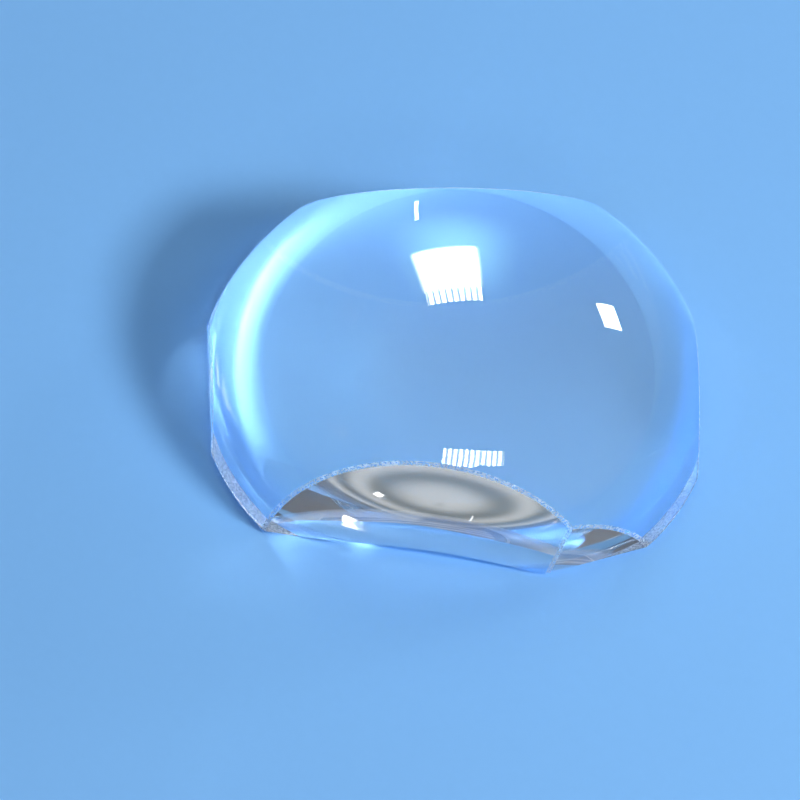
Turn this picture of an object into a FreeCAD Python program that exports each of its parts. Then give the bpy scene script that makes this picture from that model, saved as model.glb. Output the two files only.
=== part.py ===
# Glass dome lens, all one piece: a round blank with five flats ground on its edge
# and a shallow ball-shaped hollow ground into its underside.
# Millimetres, +Z up. The origin is on the optical axis, in the plane of the base.
# -Y is the front, where the two front flats meet at a corner.

import FreeCAD, Part
import math
import os

os.makedirs("parts", exist_ok=True)

V = FreeCAD.Vector
AXIS = V(0, 0, 1)
ORIGIN = V(0, 0, 0)

# Blank: the round lens before its flats were ground
dome_radius = 25.0        # ball radius of the convex face
crown_height = 20.2       # base plane to the top of the dome, on the axis
edge_land = 0.8           # height of the plain round edge between base and dome
hollow_radius = 60.0      # ball radius of the shallow hollow underside
hollow_rim = 21.8         # radius of the hollow's mouth, in the plane of the base

# Flats: each distance is from the axis, in the plane of the base
front_distance = 18.6
front_turn = -9.3         # degrees that the flat is turned from square to the front
front_lean = 6.5          # degrees that its top tips back towards the axis
corner_distance = 21.6    # short flat that takes off the right end of the front
corner_turn = 18.2
back_distance = 20.3
back_lean = 25.0
left_distance = 23.3
right_distance = 22.6

# Bevels: small ground facets that keep the arrises from chipping
base_bevel = 0.5          # round the whole base
edge_bevel = 0.25         # where a flat meets the dome, the land or the next flat

# Bearings in degrees, counted anticlockwise from +X
RIGHT, BACK, LEFT, FRONT = 0.0, 90.0, 180.0, 270.0
SEAM = 210.0              # the revolve's seam, on a round stretch of the edge
UPRIGHT = 0.0
BEVEL_FLARE = -45.0       # lean of a base bevel, outward at the top

ball_centre = V(0, 0, crown_height - dome_radius)
land_angle = math.asin((edge_land - ball_centre.z) / dome_radius)
rim_radius = dome_radius * math.cos(land_angle)
block_size = 4 * dome_radius

FLATS = [
    (FRONT + front_turn, front_distance, front_lean),
    (FRONT + corner_turn, corner_distance, UPRIGHT),
    (BACK, back_distance, back_lean),
    (LEFT, left_distance, UPRIGHT),
    (RIGHT, right_distance, UPRIGHT),
]


def on_dome(angle):
    """Point of the dome's section at this angle above the ball's level middle."""
    return ball_centre + V(dome_radius * math.cos(angle), 0, dome_radius * math.sin(angle))


def lens_blank():
    """Solid of revolution: base disc, plain round land, ball face."""
    base_rim = V(rim_radius, 0, 0)
    land_top = V(rim_radius, 0, edge_land)
    crown = V(0, 0, crown_height)
    section = Part.Wire([
        Part.LineSegment(ORIGIN, base_rim).toShape(),
        Part.LineSegment(base_rim, land_top).toShape(),
        Part.Arc(land_top, on_dome((land_angle + math.pi / 2) / 2), crown).toShape(),
        Part.LineSegment(crown, ORIGIN).toShape(),
    ])
    blank = Part.Face(section).revolve(ORIGIN, AXIS, 360)
    blank.rotate(ORIGIN, AXIS, SEAM)
    return blank


def grinding_block(bearing, distance, lean):
    """Block that stands outside one flat and is taken away from the lens."""
    block = Part.makeBox(block_size, block_size, 2 * block_size, V(0, -block_size / 2, -block_size))
    block.rotate(ORIGIN, V(0, 1, 0), -lean)
    block.translate(V(distance, 0, 0))
    block.rotate(ORIGIN, AXIS, bearing)
    return block


def grind_flats(lens):
    return lens.cut([grinding_block(*flat) for flat in FLATS]).Solids[0]


def off_base(shape):
    """True for a face or edge that rises above the base."""
    return shape.BoundBox.ZMax > edge_land / 2


def bevel_edges(lens):
    """Bevel every edge of the flats that isn't on the base."""
    flat_edges = [
        edge
        for face in lens.Faces
        if face.Surface.TypeId == "Part::GeomPlane" and off_base(face)
        for edge in face.Edges
        if off_base(edge)
    ]
    single = []
    for edge in flat_edges:
        if not any(edge.isSame(other) for other in single):
            single.append(edge)
    return lens.makeChamfer(edge_bevel, single)


def bevel_base(lens):
    """Bevel the base outline: one sloping cut a flat, and a cone for the round stretches."""
    slopes = [
        grinding_block(bearing, distance - base_bevel, BEVEL_FLARE)
        for bearing, distance, lean in FLATS
    ]
    cone = Part.makeCone(rim_radius - base_bevel, rim_radius - base_bevel + block_size, block_size)
    return lens.cut(slopes).common(cone).Solids[0]


def hollow_underside(lens):
    """Take the hollow's ball out of the base."""
    below_base = math.sqrt(hollow_radius ** 2 - hollow_rim ** 2)
    return lens.cut(Part.makeSphere(hollow_radius, V(0, 0, -below_base))).Solids[0]


lens = hollow_underside(bevel_base(bevel_edges(grind_flats(lens_blank()))))
lens.exportStep("parts/lens.step")
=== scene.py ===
# Glass dome lens on a plain pale floor.
# Metres, +Z up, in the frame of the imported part: origin on the optical axis, on the floor.

import math

import bpy
from mathutils import Matrix, Vector

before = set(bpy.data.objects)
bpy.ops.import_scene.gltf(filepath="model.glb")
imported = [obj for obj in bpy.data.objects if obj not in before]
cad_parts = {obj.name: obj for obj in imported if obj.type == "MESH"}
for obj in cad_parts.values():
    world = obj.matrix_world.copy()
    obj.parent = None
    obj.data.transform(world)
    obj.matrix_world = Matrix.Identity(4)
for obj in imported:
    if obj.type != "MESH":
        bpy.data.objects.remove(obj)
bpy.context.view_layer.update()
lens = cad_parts["lens"]

# Polished faces of the lens, as the source has them. Whatever isn't one of these is a ground facet.
DOME_CENTRE = (0.0, 0.0, -0.0048)
HOLLOW_CENTRE = (0.0, 0.0, -0.0559)
FLATS = (                 # bearing and backward lean in degrees; the two side flats are parallel
    (260.7, 6.5),
    (288.2, 0.0),
    (90.0, 25.0),
    (0.0, 0.0),
)
NORMAL_MATCH = 0.9994     # cosine of 2 degrees

# Floor and backdrop
FLOOR_COLOUR = (0.20, 0.46, 0.86)
AIR_GAP = 0.00003         # the polished underside never quite touches the floor
FLOOR_SIZE = 6.0
# Painted light: the floor glows with this share of its own colour where it is seen through the glass
PAINTED_GLOW_THROUGH_GLASS = 0.3       # share of its own colour added to the floor where it is seen through the glass
HORIZON_LEVEL, OVERHEAD_LEVEL = 0.08, 0.26

# Camera: the photograph's viewing angle, and where the origin lies in its frame
PHOTO_SIDE = 800
CAMERA_ELEVATION = 55.83
CAMERA_TURN = 8.53        # degrees from square to the front, towards -X
CAMERA_ROLL = 7.88
CAMERA_DISTANCE = 2.0
BALL_RADIUS = 0.025       # the dome's, which the next line gives in the photograph
BALL_RADIUS_PX = 265.05
CENTRE_PX = (455.1, 397.0)
SENSOR_WIDTH = 36.0

GLASS_BOUNCES = 24
BAR_DEPTH = 0.9           # how far a lamp's brightness swings between its bars


def new_material(name):
    material = bpy.data.materials.new(name)
    material.use_nodes = True
    material.node_tree.nodes.clear()
    return material, material.node_tree


def node(tree, kind, inputs=None, **settings):
    """Add a shader node: settings are its own attributes, inputs its sockets."""
    made = tree.nodes.new(kind)
    for name, value in settings.items():
        setattr(made, name, value)
    for socket, value in (inputs or {}).items():
        if isinstance(value, bpy.types.NodeSocket):
            tree.links.new(value, made.inputs[socket])
        else:
            made.inputs[socket].default_value = value
    return made


def maths(tree, operation, *values):
    return node(tree, "ShaderNodeMath", dict(enumerate(values)), operation=operation).outputs[0]


def vector_maths(tree, operation, *values, output="Vector"):
    made = node(tree, "ShaderNodeVectorMath", dict(enumerate(values)), operation=operation)
    return made.outputs[output]


def matches(tree, normal, direction):
    """1 where the face's normal lies along the direction, seen from either side of the glass."""
    along = vector_maths(tree, "DOT_PRODUCT", normal, direction, output="Value")
    return maths(tree, "GREATER_THAN", maths(tree, "ABSOLUTE", along), NORMAL_MATCH)


def ground_mask(tree, place, normal):
    """1 on the bevels, the round edge land and the base crescents, 0 on every polished face."""
    polished = []
    for centre in (DOME_CENTRE, HOLLOW_CENTRE):
        from_centre = vector_maths(tree, "SUBTRACT", place, centre)
        polished.append(matches(tree, normal, vector_maths(tree, "NORMALIZE", from_centre)))
    for bearing, lean in FLATS:
        b, tilt = math.radians(bearing), math.radians(lean)
        square = (math.cos(b) * math.cos(tilt), math.sin(b) * math.cos(tilt), math.sin(tilt))
        polished.append(matches(tree, normal, square))
    found = polished[0]
    for other in polished[1:]:
        found = maths(tree, "MAXIMUM", found, other)
    return maths(tree, "SUBTRACT", 1.0, found)


def glass_material():
    """Clear polished glass whose narrow ground facets are frosted, with faint handling marks."""
    material, tree = new_material("clear_glass")
    place = node(tree, "ShaderNodeTexCoord").outputs["Object"]
    normal = node(tree, "ShaderNodeNewGeometry").outputs["Normal"]
    ground = ground_mask(tree, place, normal)

    # Fingerprints and dust cloud the polish a little, in patches
    smear = node(tree, "ShaderNodeTexNoise",
                 {"Vector": place, "Scale": 180.0, "Detail": 6.0, "Roughness": 0.6})
    polish = node(tree, "ShaderNodeMapRange",
                  {"Value": smear.outputs["Fac"], "From Min": 0.52, "From Max": 0.72,
                   "To Min": 0.0, "To Max": 0.03})
    # The ground facets are matt, with a grit that varies in coarseness
    grit = node(tree, "ShaderNodeTexNoise",
                {"Vector": place, "Scale": 4000.0, "Detail": 4.0, "Roughness": 0.7})
    coarse = node(tree, "ShaderNodeMapRange",
                  {"Value": grit.outputs["Fac"], "From Min": 0.35, "From Max": 0.65,
                   "To Min": 0.15, "To Max": 0.4})
    roughness = node(tree, "ShaderNodeMix", {0: ground, 2: polish.outputs[0], 3: coarse.outputs[0]})
    # Ground glass scatters part of the light back, more so where the grit is coarse
    clear = node(tree, "ShaderNodeMapRange",
                 {"Value": grit.outputs["Fac"], "From Min": 0.4, "From Max": 0.6,
                  "To Min": 0.97, "To Max": 0.8})
    transmission = node(tree, "ShaderNodeMix", {0: ground, 2: 1.0, 3: clear.outputs[0]})

    shader = node(tree, "ShaderNodeBsdfPrincipled",
                  {"Base Color": (0.985, 0.995, 1.0, 1.0), "IOR": 1.52,
                   "Transmission Weight": transmission.outputs[0], "Roughness": roughness.outputs[0]})
    node(tree, "ShaderNodeOutputMaterial", {"Surface": shader.outputs[0]})
    return material


def floor_material():
    """Plain matt board, with a barely visible paper grain, and a painted glow of its own colour where it
    is seen through the glass.
    """
    material, tree = new_material("pale_floor")
    place = node(tree, "ShaderNodeTexCoord").outputs["Object"]
    grain = node(tree, "ShaderNodeTexNoise", {"Vector": place, "Scale": 900.0, "Detail": 3.0})
    tint = node(tree, "ShaderNodeMixRGB",
                {"Fac": grain.outputs["Fac"],
                 "Color1": (*[0.985 * c for c in FLOOR_COLOUR], 1.0),
                 "Color2": (*[1.015 * c for c in FLOOR_COLOUR], 1.0)})
    # Not physical, painted light: the floor glows with its own colour where it is seen through the
    # glass, because the middle of the lens is greyer than the floor without this
    path = node(tree, "ShaderNodeLightPath")
    painted_glow = maths(tree, "MULTIPLY", path.outputs["Is Transmission Ray"], PAINTED_GLOW_THROUGH_GLASS)
    shader = node(tree, "ShaderNodeBsdfPrincipled",
                  {"Base Color": tint.outputs[0], "Roughness": 0.8, "Specular IOR Level": 0.1,
                   "Emission Color": tint.outputs[0], "Emission Strength": painted_glow})
    node(tree, "ShaderNodeOutputMaterial", {"Surface": shader.outputs[0]})
    return material


def make_floor():
    bpy.ops.mesh.primitive_plane_add(size=FLOOR_SIZE)
    floor = bpy.context.object
    floor.name = "floor"
    floor.location.z = -AIR_GAP
    floor.data.materials.append(floor_material())


def make_world():
    """Even studio surround, a little brighter overhead than at the horizon."""
    world = bpy.data.worlds.new("studio")
    bpy.context.scene.world = world
    world.use_nodes = True
    tree = world.node_tree
    background = tree.nodes["Background"]
    direction = node(tree, "ShaderNodeTexCoord").outputs["Generated"]
    height = node(tree, "ShaderNodeSeparateXYZ", {0: direction})
    ramp = node(tree, "ShaderNodeValToRGB", {0: height.outputs["Z"]})
    for stop, level in zip(ramp.color_ramp.elements, (HORIZON_LEVEL, OVERHEAD_LEVEL)):
        stop.color = (level, level, level, 1)
    tree.links.new(ramp.outputs[0], background.inputs[0])


def lamp(name, bearing, elevation, wide, high, power, roll=0.0, distance=0.6,
         shine=1.0, seen_through=1.0, bars=0, soft_edge=0.0, tint=(1.0, 1.0, 1.0)):
    """Soft box that faces the origin, wide and high in degrees as the lens sees it.

    Bearing counts anticlockwise from +X. shine scales its highlights on the outside of the glass, and
    seen_through its images inside the glass. Neither is physical, and both are 1 for a real lamp.
    Paths that have met the floor see the lamp at its real strength. bars is the number of upright tubes
    behind its front. soft_edge is the share of its half width and height over which it fades out.
    """
    b, e = math.radians(bearing), math.radians(elevation)
    place = distance * Vector((math.cos(b) * math.cos(e), math.sin(b) * math.cos(e), math.sin(e)))
    light = bpy.data.lights.new(name, "AREA")
    light.shape = "RECTANGLE"
    light.size = 2 * distance * math.tan(math.radians(wide / 2))
    light.size_y = 2 * distance * math.tan(math.radians(high / 2))
    light.energy = power
    light.color = tint
    light.use_nodes = True
    tree = light.node_tree
    path = node(tree, "ShaderNodeLightPath")
    unscattered = maths(tree, "LESS_THAN", path.outputs["Diffuse Depth"], 0.5)
    inside = maths(tree, "GREATER_THAN", path.outputs["Transmission Depth"], 0.5)
    mirrored = maths(tree, "GREATER_THAN", path.outputs["Glossy Depth"], 0.5)
    outside = maths(tree, "MULTIPLY", mirrored, maths(tree, "SUBTRACT", 1.0, inside))
    gain = maths(tree, "ADD", maths(tree, "MULTIPLY", inside, seen_through - 1),
                 maths(tree, "MULTIPLY", outside, shine - 1))
    strength = maths(tree, "MULTIPLY_ADD", gain, unscattered, 1.0)
    across = node(tree, "ShaderNodeNewGeometry").outputs["Parametric"]
    front = node(tree, "ShaderNodeSeparateXYZ", {0: across})
    if bars:
        wave = maths(tree, "SINE", maths(tree, "MULTIPLY", front.outputs["X"], 2 * math.pi * bars))
        strength = maths(tree, "MULTIPLY", strength, maths(tree, "MULTIPLY_ADD", wave, BAR_DEPTH, 1.0))
    if soft_edge:
        for along in ("X", "Y"):
            from_middle = maths(tree, "ABSOLUTE", maths(tree, "SUBTRACT", front.outputs[along], 0.5))
            from_edge = maths(tree, "SUBTRACT", 0.5, from_middle)
            fade = node(tree, "ShaderNodeMapRange", {"Value": from_edge, "From Max": soft_edge / 2},
                        interpolation_type="SMOOTHSTEP")
            strength = maths(tree, "MULTIPLY", strength, fade.outputs[0])
    tree.links.new(strength, tree.nodes["Emission"].inputs["Strength"])
    made = bpy.data.objects.new(name, light)
    aim = (-place).to_track_quat("-Z", "Y").to_matrix().to_4x4()
    made.matrix_world = Matrix.Translation(place) @ aim @ Matrix.Rotation(math.radians(roll), 4, "Z")
    bpy.context.scene.collection.objects.link(made)


def make_camera():
    e, turn = math.radians(CAMERA_ELEVATION), math.radians(CAMERA_TURN)
    back = Vector((-math.sin(turn) * math.cos(e), -math.cos(turn) * math.cos(e), math.sin(e)))
    look = (-back).to_track_quat("-Z", "Y").to_matrix().to_4x4()
    roll = Matrix.Rotation(math.radians(CAMERA_ROLL), 4, "Z")
    camera = bpy.data.cameras.new("camera")
    camera.sensor_width = SENSOR_WIDTH
    camera.lens = CAMERA_DISTANCE * BALL_RADIUS_PX / BALL_RADIUS / PHOTO_SIDE * SENSOR_WIDTH
    camera.shift_x = (PHOTO_SIDE / 2 - CENTRE_PX[0]) / PHOTO_SIDE
    camera.shift_y = (CENTRE_PX[1] - PHOTO_SIDE / 2) / PHOTO_SIDE
    camera.clip_start = 0.1
    camera.clip_end = 100
    made = bpy.data.objects.new("camera", camera)
    made.matrix_world = Matrix.Translation(back * CAMERA_DISTANCE) @ look @ roll
    bpy.context.scene.collection.objects.link(made)
    bpy.context.scene.camera = made


make_camera()
lens.material_slots[0].material = glass_material()
make_floor()
make_world()
lamp("window", 95.2, 51.5, 24.0, 24.0, 0.5, shine=15.0, seen_through=0.15, soft_edge=0.25)
lamp("sill", 95.2, 65.5, 21.0, 7.0, 0.12, shine=13.0, seen_through=0.15, bars=9)
lamp("glow", 90.0, 43.0, 46.0, 58.0, 0.5, distance=0.7, shine=26.0, seen_through=0.2, soft_edge=1.0,
     tint=(0.35, 0.85, 1.0))
lamp("side", 29.0, 21.0, 8.5, 8.5, 0.4, shine=2.2)
lamp("low", -30.0, 40.5, 13.0, 9.0, 3.0, shine=0.0, seen_through=0.12)
lamp("strip", 98.2, 14.0, 0.9, 14.0, 0.12, roll=-13.0, seen_through=0.3)
lamp("front_bar", -83.3, 42.3, 26.0, 6.0, 0.3, roll=-8.0, shine=3.5, seen_through=0.3, bars=11)
lamp("slats", 82.0, 36.0, 13.0, 36.0, 0.03, roll=80.0, shine=0.0, bars=4)

scene = bpy.context.scene
scene.view_settings.view_transform = "Standard"
scene.cycles.max_bounces = GLASS_BOUNCES
scene.cycles.transmission_bounces = GLASS_BOUNCES
scene.cycles.glossy_bounces = GLASS_BOUNCES
# These two keep the light that the lens gathers on the floor
scene.cycles.sample_clamp_indirect = 0
scene.cycles.blur_glossy = 0
